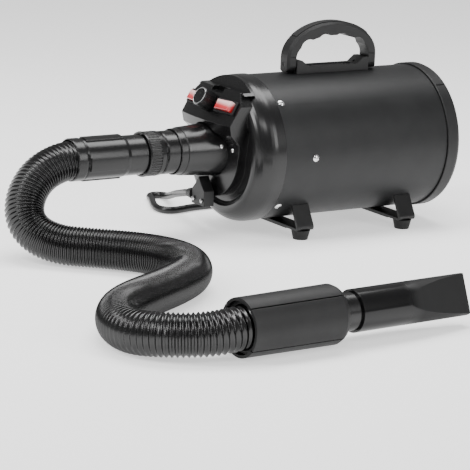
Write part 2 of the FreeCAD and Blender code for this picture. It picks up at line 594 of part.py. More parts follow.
# ---------------------------------------------------------------- heater and electrics
def make_heater():
    arm = 46.0
    frame = box(6.0, 30.0, -0.5, 0.5, AXIS_Z - arm, AXIS_Z + arm)
    frame = frame.fuse(box(6.0, 30.0, -arm, arm, AXIS_Z - 0.5, AXIS_Z + 0.5))
    rings = []
    for x in (11.0, 18.0, 25.0):
        for radius in (22.0, 32.0, 41.0):
            rings.append(Part.makeTorus(radius, 1.1, vec(x, 0, AXIS_Z), ALONG))
            frame = frame.cut(Part.makeTorus(radius, 1.25, vec(x, 0, AXIS_Z), ALONG))
    save("heater_frame", frame)
    save("heater_coils", rings)
    save("thermal_cutout", box(12.0, 22.0, 2.0, 9.0, AXIS_Z + 5.0, AXIS_Z + 17.0))
    sleeve = pipe(50.0, 48.5, 2.0, 33.0)
    save("heater_shield", sleeve)
    board = box(-8.0, -6.4, -28.0, 28.0, AXIS_Z + 51.0, AXIS_Z + 70.0)
    save("control_board", board)
    fins = [box(-6.3, 3.0, y, y + 1.6, AXIS_Z + 53.0, AXIS_Z + 68.0) for y in (-12, -7, -2, 3, 8)]
    save("triac_heat_sink", fused([box(-6.35, -4.0, -12, 9.6, AXIS_Z + 53.0, AXIS_Z + 68.0)] + fins))
    block = box(-14.0, 0.0, -14.0, 14.0, AXIS_Z - 76.0, AXIS_Z - 64.0)
    for y in (-7.0, 7.0):
        block = block.cut(rod(2.0, -20, 5, y, AXIS_Z - 70.0))
    save("terminal_block", block)


# ---------------------------------------------------------------- power cord
COIL_CENTRE = (160.0, 158.0)
COIL_MEAN_R = 47.0
COIL_OUT_R = 60.2
COIL_IN_R = 33.8
COIL_HEIGHT = 17.6
PLUG_START_X = 183.8
PLUG_Z = 11.0
PLUG_Y = COIL_CENTRE[1] - COIL_MEAN_R - 2 * CORD_R
CORD_Z = AXIS_Z - 52.5
CORD_ROUTE = [
    (-56.5, 13.0, CORD_Z),
    (-51.0, 34.0, 41.0),
    (-43.0, 58.0, 35.5),
    (-34.0, 84.0, 28.5),
    (-24.0, 111.0, 21.5),
    (-14.0, 137.0, 13.5),
    (-5.5, 158.0, 7.5),
    (-2.5, 173.5, 4.8),
    (-6.3, 179.5, 4.4),
    (-13.0, 181.3, 4.3),
    (-19.2, 178.0, 4.3),
    (-24.5, 164.0, 4.3),
    (-32.0, 149.0, 4.3),
    (-40.0, 132.0, 4.3),
    (-44.0, 117.0, 4.3),
    (-41.5, 105.5, 4.3),
    (-33.5, 100.5, 4.3),
    (-22.0, 101.5, 4.3),
    (-2.0, 107.0, 4.3),
    (32.0, 108.5, 4.3),
    (77.5, 106.5, 4.3),
    (122.0, 110.5, 4.3),
]


def clamp_screws():
    screws = []
    for y in (-8.5, 8.5):
        screw = pan_screw(2.6, 1.8, 1.2, 0.6)
        screw.translate(vec(-62.65, y, AXIS_Z - 56.0))
        screws.append(screw)
    return screws


def make_cord():
    house = [(-13.0, AXIS_Z - 62.0), (13.0, AXIS_Z - 62.0), (13.0, AXIS_Z - 45.0), (6.0, AXIS_Z - 38.0),
             (0.0, AXIS_Z - 29.5), (-6.0, AXIS_Z - 38.0), (-13.0, AXIS_Z - 45.0)]
    clamp = slab_yz(house, -62.0, -48.9)
    clamp = clamp.cut(Part.makeCylinder(CORD_R + 0.1, 60, vec(-56.5, -2, CORD_Z), ACROSS))
    tail = rod(4.6, -49, -36, 0, AXIS_Z - 48.0)
    save("cord_clamp", fused([clamp, tail]))
    start = vec(*CORD_ROUTE[0])
    onward = vec(*CORD_ROUTE[1]) - start
    relief = Part.makeCone(7.8, 5.4, 23.0, start, onward).cut(box(-80, -30, 0, 13.0, 0, AXIS_Z))
    spacing = onward * 0.18
    collars = [Part.makeTorus(8.3 - 0.42 * i, 1.0, start + spacing * (0.9 + i), onward) for i in range(5)]
    relief = relief.cut(Part.makeCompound(collars))
    bore = Part.makeCylinder(CORD_R + 0.3, 60, start - onward, onward)
    save("strain_relief", relief.cut(bore))
    points = [vec(*p) for p in CORD_ROUTE]
    print("power cord")
    path = cord_path(points)
    save("power_cord", swept(path, points, CORD_R))
    coil = Part.makeCylinder(COIL_OUT_R, COIL_HEIGHT, vec(*COIL_CENTRE, 0), UP)
    coil = coil.cut(Part.makeCylinder(COIL_IN_R, COIL_HEIGHT + 2, vec(*COIL_CENTRE, -1), UP))
    coil = coil.makeFillet(4.0, coil.Edges)
    last_run = points[-1] - points[-2]
    coil = coil.cut(Part.makeCylinder(CORD_R + 0.1, last_run.Length, points[-2], last_run))
    coil = coil.cut(Part.makeCone(5.8, 8.2, 22.0, vec(PLUG_START_X, PLUG_Y, PLUG_Z), ALONG))
    save("cord_coil", coil)
    tie_x = COIL_CENTRE[0] + COIL_MEAN_R
    tie = box(tie_x - 15.8, tie_x + 15.8, COIL_CENTRE[1] - 4.0, COIL_CENTRE[1] + 4.0, 0.02, COIL_HEIGHT + 1.6)
    tie = tie.cut(box(tie_x - 13.5, tie_x + 13.5, 0, 300, 0.0, COIL_HEIGHT + 0.1))
    save("cord_tie", tie)
    relief = Part.makeCone(5.6, 8.0, 22.0, vec(PLUG_START_X, PLUG_Y, PLUG_Z), ALONG)
    body = box(PLUG_START_X + 21.0, PLUG_START_X + 52.0, PLUG_Y - 13.5, PLUG_Y + 13.5, 0.1, 21.0)
    body = body.makeFillet(4.5, body.Edges)
    save("plug_body", relief.fuse(body))
    nose = PLUG_START_X + 52.0
    pins = [rod(2.4, nose, nose + 20, PLUG_Y, PLUG_Z - 5.6)]
    for shift in (-6.4, 6.4):
        pins.append(box(nose, nose + 18, PLUG_Y + shift - 0.8, PLUG_Y + shift + 0.8, PLUG_Z - 1.0, PLUG_Z + 5.4))
    save("plug_blades", pins)


# ---------------------------------------------------------------- hose and its machine end
def make_hose_end():
    z = OUTLET_Z
    adapter = turned([(-76, 21.3), (-76, 23.8), (-77, 24.3), (-115.0, 24.3), (-116.4, 23.5), (-116.4, 22.8),
                      (-137.0, 22.8), (-137.0, 21.3)], z)
    save("hose_adapter", adapter)
    ring = lobed(25.1, 0.8, 44, -138.2, -124.6, z)
    ring = ring.fuse(turned([(-139.9, 20), (-139.9, 25.2), (-138.2, 25.6), (-138.2, 20)], z))
    ring = ring.fuse(turned([(-124.6, 20), (-124.6, 25.3), (-119.6, 24.9), (-118.2, 24.0), (-118.2, 20)], z))
    save("coupling_ring", ring.cut(rod(23.1, -150, -100, 0, z)))
    cuff = turned([(-129.0, 19.6), (-129.0, 21.0), (-140.5, 21.0), (-140.5, 22.4), (-163.0, 22.4), (-167.0, 23.2),
                   (-214.5, 23.2), (-216.5, 22.4), (-217.3, 23.4), (-218.5, 23.8), (-228.4, 23.8), (-229.6, 23.2),
                   (-229.6, HOSE_R + 0.9), (-220.0, HOSE_R + 0.3), (-210.0, HOSE_R + 0.3), (-210.0, 19.6)], z)
    pad = pipe(24.6, 22.8, -213.8, -167.4, 0, z)
    pad = pad.common(slab_yz([(0, z), (-14.0, z + 40), (14.0, z + 40)], -230, -160))
    pads = [spun(pad, 90 * i + 6, vec(0, 0, z)) for i in range(4)]
    save("machine_cuff", fused([cuff] + pads))


HOSE_ROUTE = [
    (-212.0, 0.0, OUTLET_Z),
    (-231.5, -0.5, 98.5),
    (-250.5, -2.0, 94.0),
    (-268.5, -4.5, 85.5),
    (-283.0, -9.5, 72.0),
    (-293.0, -17.5, 55.5),
    (-295.0, -29.5, 39.0),
    (-287.0, -45.5, 27.5),
    (-271.5, -63.5, 21.6),
    (-252.5, -82.0, 21.6),
    (-231.5, -101.0, 21.6),
    (-211.0, -122.5, 21.6),
    (-195.0, -148.0, 21.6),
    (-188.0, -177.0, 21.6),
    (-193.5, -205.5, 21.6),
    (-211.0, -230.5, 21.6),
    (-236.0, -250.0, 21.6),
    (-264.0, -267.5, 21.6),
    (-293.0, -283.0, 21.6),
    (-321.0, -298.5, 21.6),
    (-345.0, -318.0, 21.6),
    (-362.5, -342.5, 21.6),
    (-373.5, -368.5, 21.6),
    (-373.5, -394.5, 21.6),
    (-360.0, -416.5, 23.5),
    (-338.5, -433.0, 24.5),
    (-314.0, -443.0, 26.0),
    (-289.0, -447.0, 30.0),
    (-265.0, -445.5, 30.0),
]


def make_hose():
    points = [vec(*p) for p in HOSE_ROUTE]
    print("hose")
    path = cord_path(points)
    solid = swept(path, points, HOSE_R)
    bore = Part.Wire(Part.makeCircle(HOSE_BORE_R, points[0], points[1] - points[0]))
    save("hose", solid.cut(path.makePipeShell([bore], True, True)))


# ---------------------------------------------------------------- hand piece
def lay_down(shape):
    """Hand-piece parts are drawn along +X from the origin; this puts them on the floor."""
    placed = shape.copy()
    placed.rotate(vec(0, 0, 0), UP, GRIP_YAW)
    placed.translate(vec(*GRIP_START))
    return placed


def bar(radius, x0, x1):
    return rod(radius, x0, x1, 0, 0)


def make_hand_piece():
    core = turned([(4.0, HOSE_R + 0.6), (4.0, 25.2), (107.0, 25.6), (115.0, 21.4), (115.0, 19.15), (66.0, 19.15),
                   (66.0, 20.5), (29.0, 20.5), (29.0, HOSE_R + 0.6)], 0)
    save("grip_core", lay_down(core))
    sleeve = Part.makeCone(28.9, 29.8, GRIP_LENGTH - 4.0, vec(0, 0, 0), ALONG)
    sleeve = sleeve.fuse(Part.makeCone(29.8, 28.0, 4.0, vec(GRIP_LENGTH - 4.0, 0, 0), ALONG))
    sleeve = sleeve.cut(bar(25.75, -1, GRIP_LENGTH + 1))
    quadrant = polygon([vec(-5, 0.7, 0.7), vec(-5, 60, 0.7), vec(-5, 60, 60), vec(-5, 0.7, 60)])
    quarter = sleeve.common(quadrant.extrude(vec(GRIP_LENGTH + 10, 0, 0)))
    save("grip_panels", [lay_down(spun(quarter, 39.0 + 90 * i, vec(0, 0, 0))) for i in range(4)])
    connector = turned([(68.0, 16.4), (68.0, 19.05), (116.2, 19.05), (116.2, 20.2), (119.0, 20.2), (119.6, 19.2),
                        (131.5, 19.2), (132.5, 18.4), (154.0, 18.2), (154.0, 16.4)], 0)
    save("connector_tube", lay_down(connector))
    nozzle = flat_nozzle()
    nozzle.rotate(vec(0, 0, 0), ALONG, -NOZZLE_ROLL)
    save("flat_nozzle", lay_down(nozzle))


def wedge_cut(start, mouth, near_r, mouth_half):
    """Two slabs beyond the nozzle's flats, which close in from a round tube to a slot."""
    end = mouth + 10
    end_half = mouth_half - 10 * (near_r - mouth_half) / (mouth - start)
    cuts = []
    for side in (-1, 1):
        outline = [vec(start, side * near_r, -40), vec(end, side * end_half, -40), vec(end, side * 60, -40),
                   vec(start, side * 60, -40)]
        cuts.append(polygon(outline).extrude(vec(0, 0, 80)))
    return Part.makeCompound(cuts)


def flat_nozzle():
    start = 134.0
    mouth = 275.5
    flat_from = 191.0
    wall = 1.9
    outer = bar(NOZZLE_R, start, mouth).cut(wedge_cut(flat_from, mouth, NOZZLE_R, 7.0))
    inner = bar(NOZZLE_R - wall, start + 22.5, mouth + 1)
    inner = inner.cut(wedge_cut(flat_from, mouth, NOZZLE_R - wall, 7.0 - wall))
    socket = bar(18.55, start - 1, start + 21).fuse(bar(16.6, start, start + 23))
    return outer.cut(socket).cut(inner)


os.makedirs("parts", exist_ok=True)
make_body()
make_front_cap()
save("front_screws", make_outlet() + clamp_screws())
make_controls()
make_rear()
make_feet()
make_handle()
make_blower()
make_heater()
make_cord()
make_hose_end()
make_hose()
make_hand_piece()
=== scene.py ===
import math

import bmesh
import bpy
from mathutils import Matrix, Vector


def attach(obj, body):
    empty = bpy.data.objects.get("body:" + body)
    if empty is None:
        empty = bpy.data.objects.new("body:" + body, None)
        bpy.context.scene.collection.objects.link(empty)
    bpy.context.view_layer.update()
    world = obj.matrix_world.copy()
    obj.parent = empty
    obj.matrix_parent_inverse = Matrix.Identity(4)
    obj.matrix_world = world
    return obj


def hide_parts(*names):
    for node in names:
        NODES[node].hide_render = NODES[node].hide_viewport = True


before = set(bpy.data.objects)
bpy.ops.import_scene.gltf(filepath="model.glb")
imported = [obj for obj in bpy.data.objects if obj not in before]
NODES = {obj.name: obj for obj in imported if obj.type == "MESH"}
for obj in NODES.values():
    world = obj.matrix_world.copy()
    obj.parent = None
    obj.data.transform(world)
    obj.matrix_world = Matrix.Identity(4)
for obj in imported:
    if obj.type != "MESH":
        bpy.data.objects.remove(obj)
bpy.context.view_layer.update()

SEAM_X = -0.0707     # the seam between cap and tube; both cord routes are measured from it
AXIS_Z = 0.097       # the body tube's axis above the floor


# ---------------------------------------------------------------- camera
CAMERA_TURN = math.radians(-32.96)
CAMERA_RISE = math.radians(13.23)
CAMERA_ROLL = 0.043
CAMERA_AWAY = 2.8489
AIM_RIGHT = -0.008323    # the point aimed at, beside and below the seam
AIM_Z = -0.006424


def place_camera():
    """Put the camera in the scene, and give the directions to its right and back towards it."""
    level = math.cos(CAMERA_RISE)
    back = Vector((math.sin(CAMERA_TURN) * level, -math.cos(CAMERA_TURN) * level, math.sin(CAMERA_RISE)))
    right = Vector((math.cos(CAMERA_TURN), math.sin(CAMERA_TURN), 0.0))
    up = back.cross(right)
    rolled_right = right * math.cos(CAMERA_ROLL) + up * math.sin(CAMERA_ROLL)
    rolled_up = up * math.cos(CAMERA_ROLL) - right * math.sin(CAMERA_ROLL)
    turned = Matrix((rolled_right, rolled_up, back)).transposed()
    spot = Vector((SEAM_X, 0, AIM_Z)) + AIM_RIGHT * right + CAMERA_AWAY * back
    data = bpy.data.cameras.new("camera")
    data.sensor_width = 36.0
    data.lens = 190.4
    data.clip_end = 50.0
    camera = bpy.data.objects.new("camera", data)
    bpy.context.scene.collection.objects.link(camera)
    camera.matrix_world = Matrix.Translation(spot) @ turned.to_4x4()
    bpy.context.scene.camera = camera
    return right, back


RIGHT, BACK = place_camera()


# ---------------------------------------------------------------- material helpers
def new_material(name):
    """A material with its node tree and its shader, nothing else in it."""
    material = bpy.data.materials.new(name)
    material.use_nodes = True
    tree = material.node_tree
    tree.nodes.clear()
    out = tree.nodes.new("ShaderNodeOutputMaterial")
    shader = tree.nodes.new("ShaderNodeBsdfPrincipled")
    tree.links.new(shader.outputs["BSDF"], out.inputs["Surface"])
    return material, tree, shader


def object_coords(tree):
    """Where a point of the surface lies, in metres."""
    return tree.nodes.new("ShaderNodeTexCoord").outputs["Object"]


def coordinate(tree, axis):
    """One coordinate of the surface, "X", "Y" or "Z"."""
    node = tree.nodes.new("ShaderNodeSeparateXYZ")
    tree.links.new(object_coords(tree), node.inputs["Vector"])
    return node.outputs[axis]


def noise(tree, scale, detail=4.0, rough=0.55, coords=None):
    """Cloudy pattern, finer for a larger scale."""
    node = tree.nodes.new("ShaderNodeTexNoise")
    node.inputs["Scale"].default_value = scale
    node.inputs["Detail"].default_value = detail
    node.inputs["Roughness"].default_value = rough
    tree.links.new(coords or object_coords(tree), node.inputs["Vector"])
    return node.outputs["Fac"]


def ramp(tree, source, stops):
    """Colour for a value, from stops of value and colour."""
    node = tree.nodes.new("ShaderNodeValToRGB")
    node.color_ramp.elements[0].position = stops[0][0]
    node.color_ramp.elements[0].color = (*stops[0][1], 1)
    node.color_ramp.elements[1].position = stops[-1][0]
    node.color_ramp.elements[1].color = (*stops[-1][1], 1)
    for place, colour in stops[1:-1]:
        node.color_ramp.elements.new(place).color = (*colour, 1)
    tree.links.new(source, node.inputs["Fac"])
    return node.outputs["Color"]


def spread(tree, source, low, high, start=0.0, end=1.0):
    """A value that goes from low to high as the source goes from start to end."""
    node = tree.nodes.new("ShaderNodeMapRange")
    node.inputs["From Min"].default_value = start
    node.inputs["From Max"].default_value = end
    node.inputs["To Min"].default_value = low
    node.inputs["To Max"].default_value = high
    tree.links.new(source, node.inputs["Value"])
    return node.outputs["Result"]


def bump(tree, height, strength, distance, under=None):
    """Surface normal for a height, laid over another normal where one is given."""
    node = tree.nodes.new("ShaderNodeBump")
    node.inputs["Strength"].default_value = strength
    node.inputs["Distance"].default_value = distance
    tree.links.new(height, node.inputs["Height"])
    if under is not None:
        tree.links.new(under, node.inputs["Normal"])
    return node.outputs["Normal"]


def grained(name, dark, light, rough, grain_scale, grain, shine=0.5, wave=0.0003, edge=0.0007):
    """Moulded or painted surface: cloudy colour, uneven gloss, fine grain over a slight waviness.

    Edges catch the light as if rounded to the radius edge; 0 leaves them as they are.
    """
    material, tree, shader = new_material(name)
    cloud = noise(tree, 38.0, 5.0)
    tree.links.new(ramp(tree, cloud, [(0.3, dark), (0.7, light)]), shader.inputs["Base Color"])
    smudge = noise(tree, 90.0, 6.0, 0.6)
    tree.links.new(spread(tree, smudge, rough * 0.85, rough * 1.15), shader.inputs["Roughness"])
    fine = noise(tree, grain_scale, 3.0, 0.6)
    edges = None
    if edge:
        rounded = tree.nodes.new("ShaderNodeBevel")
        rounded.samples = 6
        rounded.inputs["Radius"].default_value = edge
        edges = rounded.outputs["Normal"]
    slow = bump(tree, noise(tree, 22.0, 2.0), 0.3, wave, edges)
    tree.links.new(bump(tree, fine, 0.5, grain, slow), shader.inputs["Normal"])
    shader.inputs["Specular IOR Level"].default_value = shine
    return material


def metal(name, dark, light, rough, streak=0.0):
    """Bare metal with uneven gloss, in streaks across X where a streak is given."""
    material, tree, shader = new_material(name)
    coords = object_coords(tree)
    if streak:
        mapping = tree.nodes.new("ShaderNodeMapping")
        mapping.inputs["Scale"].default_value = (streak, 1.0, 1.0)
        tree.links.new(coords, mapping.inputs["Vector"])
        coords = mapping.outputs["Vector"]
    mottle = noise(tree, 160.0, 6.0, 0.5, coords)
    tree.links.new(ramp(tree, mottle, [(0.3, dark), (0.7, light)]), shader.inputs["Base Color"])
    tree.links.new(spread(tree, mottle, rough * 0.7, rough * 1.3), shader.inputs["Roughness"])
    tree.links.new(bump(tree, mottle, 0.3, 0.00004), shader.inputs["Normal"])
    shader.inputs["Metallic"].default_value = 1.0
    return material


def open_cell(name, colour):
    """Foam or felt: paler walls, with painted shade darkening the pits between them."""
    material, tree, shader = new_material(name)
    cells = tree.nodes.new("ShaderNodeTexVoronoi")
    cells.inputs["Scale"].default_value = 700.0
    tree.links.new(object_coords(tree), cells.inputs["Vector"])
    apart = cells.outputs["Distance"]
    bright = [c * 2.2 for c in colour]
    # painted shade: the colour darkens into the pits, following their depth
    tree.links.new(ramp(tree, apart, [(0.1, colour), (0.8, bright)]), shader.inputs["Base Color"])
    tree.links.new(bump(tree, apart, 0.9, 0.0006), shader.inputs["Normal"])
    shader.inputs["Roughness"].default_value = 0.95
    return material


WAVE_SPACING = 0.314     # from band to band of a wave texture, at scale 1


def windings(name, dark, light, pitch):
    """Wound wire: rounded bands across X, with painted shade darkening the grooves between turns and painted
    highlight on the crests.
    """
    material, tree, shader = new_material(name)
    bands = tree.nodes.new("ShaderNodeTexWave")
    bands.bands_direction = "X"
    bands.inputs["Scale"].default_value = WAVE_SPACING / pitch
    bands.inputs["Distortion"].default_value = 0.6
    tree.links.new(object_coords(tree), bands.inputs["Vector"])
    # painted shade and highlight: the colour follows the bands' height, dark in the grooves and pale on the
    # crests
    tree.links.new(ramp(tree, bands.outputs["Fac"], [(0.1, dark), (0.8, light)]), shader.inputs["Base Color"])
    tree.links.new(bump(tree, bands.outputs["Fac"], 0.9, pitch * 0.4), shader.inputs["Normal"])
    shader.inputs["Metallic"].default_value = 0.9
    shader.inputs["Roughness"].default_value = 0.35
    return material


PAINTED_HIGHLIGHT_LOW_Z = 0.1455     # the rockers turn from deep red to a painted pale highlight between these two heights
PAINTED_HIGHLIGHT_HIGH_Z = 0.1605


def red_with_painted_highlight(name):
    """Clear red moulding, deep red below, paler above as a painted highlight, with a faint painted glow."""
    material, tree, shader = new_material(name)
    # painted highlight: the colour pales towards the top of the rockers
    height = spread(tree, coordinate(tree, "Z"), 0.0, 1.0, PAINTED_HIGHLIGHT_LOW_Z, PAINTED_HIGHLIGHT_HIGH_Z)
    stops = [(0.25, (0.42, 0.008, 0.012)), (0.55, (0.62, 0.05, 0.06)), (0.80, (0.95, 0.62, 0.60))]
    red_and_painted_highlight = ramp(tree, height, stops)
    tree.links.new(red_and_painted_highlight, shader.inputs["Base Color"])
    shader.inputs["Roughness"].default_value = 0.22
    shader.inputs["Coat Weight"].default_value = 0.8
    shader.inputs["Coat Roughness"].default_value = 0.12
    shader.inputs["Subsurface Weight"].default_value = 0.15
    shader.inputs["Subsurface Radius"].default_value = (0.006, 0.0015, 0.0015)
    shader.inputs["Subsurface Scale"].default_value = 1.0
    # faint painted glow: the rockers hold no lamp
    shader.inputs["Emission Color"].default_value = (0.8, 0.10, 0.10, 1)
    shader.inputs["Emission Strength"].default_value = 0.04
    tree.links.new(bump(tree, noise(tree, 60.0, 2.0), 0.2, 0.0002), shader.inputs["Normal"])
    return material


POLISHED_TO_X = -0.172     # the nozzle dulls between these two places along it
DULL_FROM_X = -0.150


def nozzle_plastic(name):
    """Polished round socket, and a matte flat beyond where the flats begin."""
    polished = 0.16
    dull = 0.62
    material = grained(name, (0.0030, 0.0030, 0.0032), (0.0055, 0.0055, 0.0058), polished, 1100.0, 0.00003)
    tree = material.node_tree
    shader = tree.nodes["Principled BSDF"]
    along = spread(tree, coordinate(tree, "X"), polished, dull, POLISHED_TO_X, DULL_FROM_X)
    tree.links.new(along, shader.inputs["Roughness"])
    shader.inputs["Specular IOR Level"].default_value = 0.35
    return material


TUBE = grained("tube_paint", (0.0085, 0.0088, 0.0092), (0.0125, 0.0128, 0.0132), 0.42, 1500.0, 0.00010,
               shine=0.34)
GLOSS = grained("gloss_black", (0.0030, 0.0030, 0.0032), (0.0050, 0.0050, 0.0053), 0.25, 900.0, 0.00001,
                wave=0.00002)
SATIN = grained("satin_black", (0.0045, 0.0045, 0.0048), (0.0075, 0.0075, 0.0078), 0.26, 1300.0, 0.00003,
                shine=0.45)
MATTE = grained("matte_black", (0.0065, 0.0065, 0.0068), (0.0105, 0.0105, 0.0108), 0.46, 1600.0, 0.00008,
                shine=0.40)
SOFT = grained("soft_grip", (0.0075, 0.0075, 0.0078), (0.0120, 0.0120, 0.0123), 0.52, 1400.0, 0.00008,
               shine=0.35)
RUBBER = grained("rubber", (0.0060, 0.0060, 0.0060), (0.0100, 0.0100, 0.0100), 0.60, 1100.0, 0.00010,
                 shine=0.35)
RIBBED = grained("hose_black", (0.0030, 0.0030, 0.0032), (0.0050, 0.0050, 0.0052), 0.24, 1200.0, 0.0,
                 shine=0.6, wave=0.0, edge=0.0)
LEAD = grained("cord_black", (0.0050, 0.0050, 0.0050), (0.0085, 0.0085, 0.0088), 0.34, 1200.0, 0.00003)
BRACKET = grained("bracket_black", (0.0060, 0.0060, 0.0063), (0.0095, 0.0095, 0.0098), 0.34, 1300.0, 0.00006,
                  shine=0.42)
CHROME = metal("screw_chrome", (0.72, 0.72, 0.72), (0.88, 0.88, 0.88), 0.16)
STEEL = metal("steel", (0.42, 0.42, 0.42), (0.60, 0.60, 0.60), 0.32, 12.0)
ALUMINIUM = metal("aluminium", (0.62, 0.62, 0.63), (0.80, 0.80, 0.81), 0.30, 8.0)
BRASS = metal("brass", (0.62, 0.44, 0.18), (0.80, 0.62, 0.30), 0.25)
NICHROME = metal("nichrome", (0.24, 0.21, 0.18), (0.42, 0.38, 0.33), 0.40)
COPPER = windings("copper", (0.30, 0.10, 0.04), (0.75, 0.36, 0.18), 0.0009)
CARBON = grained("carbon", (0.02, 0.02, 0.02), (0.04, 0.04, 0.04), 0.6, 1500.0, 0.0001)
MICA = grained("mica", (0.50, 0.44, 0.32), (0.68, 0.62, 0.48), 0.4, 400.0, 0.0001)
FOAM = open_cell("foam", (0.012, 0.012, 0.012))
FELT = open_cell("felt", (0.05, 0.05, 0.055))
BOARD = grained("board_green", (0.01, 0.10, 0.03), (0.02, 0.16, 0.05), 0.35, 500.0, 0.0001)
WHITE = grained("white_plastic", (0.68, 0.68, 0.66), (0.78, 0.78, 0.76), 0.35, 1200.0, 0.00003)
RED = red_with_painted_highlight("rocker_red")
NOZZLE = nozzle_plastic("nozzle_plastic")

FINISH = {
    TUBE: ["body_tube"],
    GLOSS: ["front_cap", "outlet_tube", "hose_adapter", "connector_tube"],
    NOZZLE: ["flat_nozzle"],
    SATIN: ["machine_cuff", "coupling_ring", "speed_knob"],
    MATTE: ["rear_ring", "rear_grille", "handle_base", "handle_grip", "switch_housing_right",
            "switch_housing_left", "grip_core", "filter_retainer", "intake_bell", "cord_tie", "cord_clamp"],
    SOFT: ["grip_panels", "handle_strip"],
    RUBBER: ["rubber_feet", "strain_relief", "motor_mount_rings"],
    LEAD: ["plug_body"],
    BRACKET: ["foot_bracket_front", "foot_bracket_rear", "handle_pins"],
    CHROME: ["body_screws", "front_screws", "foot_bolts", "handle_screws"],
    STEEL: ["knob_shaft", "speed_potentiometer", "blower_can", "stator_core", "motor_bearings", "armature"],
    ALUMINIUM: ["stage_plate", "impellers", "motor_end_plates", "triac_heat_sink", "heater_shield"],
    BRASS: ["brush_holders", "plug_blades", "thermal_cutout"],
    NICHROME: ["heater_coils"],
    COPPER: ["field_windings"],
    CARBON: ["carbon_brushes"],
    MICA: ["heater_frame"],
    FOAM: ["intake_filter"],
    FELT: ["acoustic_liner"],
    BOARD: ["control_board"],
    WHITE: ["terminal_block"],
    RED: ["rocker_right", "rocker_left"],
}
for material, names in FINISH.items():
    for name in names:
        for place in NODES[name].material_slots:
            place.material = material


# ---------------------------------------------------------------- cords
def spline_curve(name, points, fineness=12):
    """Smooth curve with the points as its control points."""
    data = bpy.data.curves.new(name, "CURVE")
    data.dimensions = "3D"
    data.resolution_u = fineness
    spline = data.splines.new("NURBS")
    spline.points.add(len(points) - 1)
    for place, point in zip(spline.points, points):
        place.co = (point[0] + SEAM_X, point[1], point[2], 1.0)
    spline.order_u = 3
    spline.use_endpoint_u = True
    curve = bpy.data.objects.new(name, data)
    bpy.context.scene.collection.objects.link(curve)
    return curve


CORD_ROUTE = [
    (-0.0565, 0.0130, 0.0445),
    (-0.0510, 0.0340, 0.0410),
    (-0.0430, 0.0580, 0.0355),
    (-0.0340, 0.0840, 0.0285),
    (-0.0240, 0.1110, 0.0215),
    (-0.0140, 0.1370, 0.0135),
    (-0.0055, 0.1580, 0.0075),
    (-0.0038, 0.1666, 0.0060),
    (-0.0025, 0.1735, 0.0048),
    (-0.0063, 0.1795, 0.0044),
    (-0.0130, 0.1813, 0.0043),
    (-0.0192, 0.1780, 0.0043),
    (-0.0217, 0.1714, 0.0043),
    (-0.0245, 0.1640, 0.0043),
    (-0.0320, 0.1490, 0.0043),
    (-0.0400, 0.1320, 0.0043),
    (-0.0440, 0.1170, 0.0043),
    (-0.0415, 0.1055, 0.0043),
    (-0.0335, 0.1005, 0.0043),
    (-0.0220, 0.1015, 0.0043),
    (-0.0020, 0.1070, 0.0043),
    (0.0320, 0.1085, 0.0043),
    (0.0775, 0.1065, 0.0043),
    (0.1220, 0.1105, 0.0043),
]
CORD_D = 0.0085
COIL_X = 0.160
COIL_Y = 0.158
COIL_RADII = (0.0556, 0.0470, 0.0384, 0.0384, 0.0470, 0.0556)
COIL_LEVELS = (0.0043, 0.0043, 0.0043, 0.0129, 0.0129, 0.0129)
COIL_MOVES = (330.0, 295.0, 260.0, 225.0, 190.0)     # where each turn steps over to the next place
COIL_MOVE_SPAN = 30.0
COIL_STEP = 15.0
COIL_PLUG_END = [(0.1725, 0.1025, 0.0126), (0.1838, 0.1025, 0.0110)]


def eased(value):
    """Smooth step from 0 to 1."""
    value = min(max(value, 0.0), 1.0)
    return value * value * (3 - 2 * value)


def coil_point(turned):
    """Control point of the stored coil after that many degrees, just outside the turn it draws."""
    lap = min(max(int(turned // 360.0), 0), len(COIL_MOVES) - 1)
    step = eased((turned - 360.0 * lap - COIL_MOVES[lap]) / COIL_MOVE_SPAN)
    radius = COIL_RADII[lap] + step * (COIL_RADII[lap + 1] - COIL_RADII[lap])
    level = COIL_LEVELS[lap] + step * (COIL_LEVELS[lap + 1] - COIL_LEVELS[lap])
    angle = math.radians(turned - 90.0)
    reach = radius / math.cos(math.radians(COIL_STEP / 2))
    return (COIL_X + reach * math.cos(angle), COIL_Y + reach * math.sin(angle), level)


coil_steps = round(360.0 / COIL_STEP) * len(COIL_MOVES)
coil_points = [coil_point(COIL_STEP * i) for i in range(-1, coil_steps + 1)]
cord = spline_curve("mains_cord", CORD_ROUTE + coil_points + COIL_PLUG_END)
cord.data.bevel_depth = CORD_D / 2
cord.data.bevel_resolution = 6
cord.data.materials.append(LEAD)
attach(cord, "dryer")
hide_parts("power_cord", "cord_coil")

HOSE_ROUTE = [
    (-0.2120, 0.0000, 0.0985),
    (-0.2315, -0.0005, 0.0985),
    (-0.2505, -0.0020, 0.0940),
    (-0.2685, -0.0045, 0.0855),
    (-0.2830, -0.0095, 0.0720),
    (-0.2930, -0.0175, 0.0555),
    (-0.2950, -0.0295, 0.0390),
    (-0.2870, -0.0455, 0.0275),
    (-0.2715, -0.0635, 0.0216),
    (-0.2525, -0.0820, 0.0216),
    (-0.2315, -0.1010, 0.0216),
    (-0.2110, -0.1225, 0.0216),
    (-0.1950, -0.1480, 0.0216),
    (-0.1880, -0.1770, 0.0216),
    (-0.1935, -0.2055, 0.0216),
    (-0.2110, -0.2305, 0.0216),
    (-0.2360, -0.2500, 0.0216),
    (-0.2640, -0.2675, 0.0216),
    (-0.2930, -0.2830, 0.0216),
    (-0.3210, -0.2985, 0.0216),
    (-0.3450, -0.3180, 0.0216),
    (-0.3625, -0.3425, 0.0216),
    (-0.3735, -0.3685, 0.0216),
    (-0.3735, -0.3945, 0.0216),
    (-0.3600, -0.4165, 0.0235),
    (-0.3385, -0.4330, 0.0245),
    (-0.3140, -0.4430, 0.0260),
    (-0.2890, -0.4470, 0.0300),
    (-0.2650, -0.4455, 0.0300),
]
